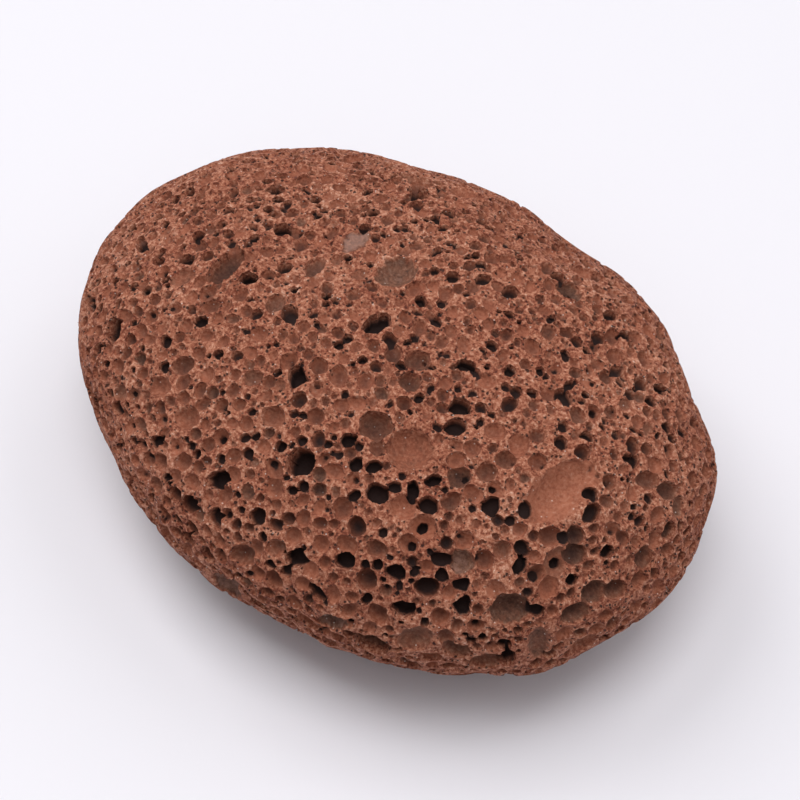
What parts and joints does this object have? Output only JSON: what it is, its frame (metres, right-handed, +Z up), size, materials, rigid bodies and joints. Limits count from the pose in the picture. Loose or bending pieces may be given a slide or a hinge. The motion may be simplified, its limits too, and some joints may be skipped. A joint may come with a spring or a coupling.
{
  "type": "pumice stone",
  "caption": "Flattened egg-shaped foot stone of reddish-brown bubbly lava, pitted all over with round open bubbles, for rubbing down hard skin.",
  "frame": {"origin": "middle of the footprint, on the worn flat underside that the stone rests on", "axes": "+X along the stone's long axis, towards its blunter, coarser-pitted end; +Y across it, towards its finer-pitted side; +Z up, out of the top"},
  "size_m": [0.1003, 0.075, 0.0392],
  "materials": {
    "lava_stone": "dull, gritty, reddish-brown vesicular lava with grey-brown bubble linings"
  },
  "bodies": {
    "root": {"pumice_stone": "lava_stone"}
  },
  "joints": []
}
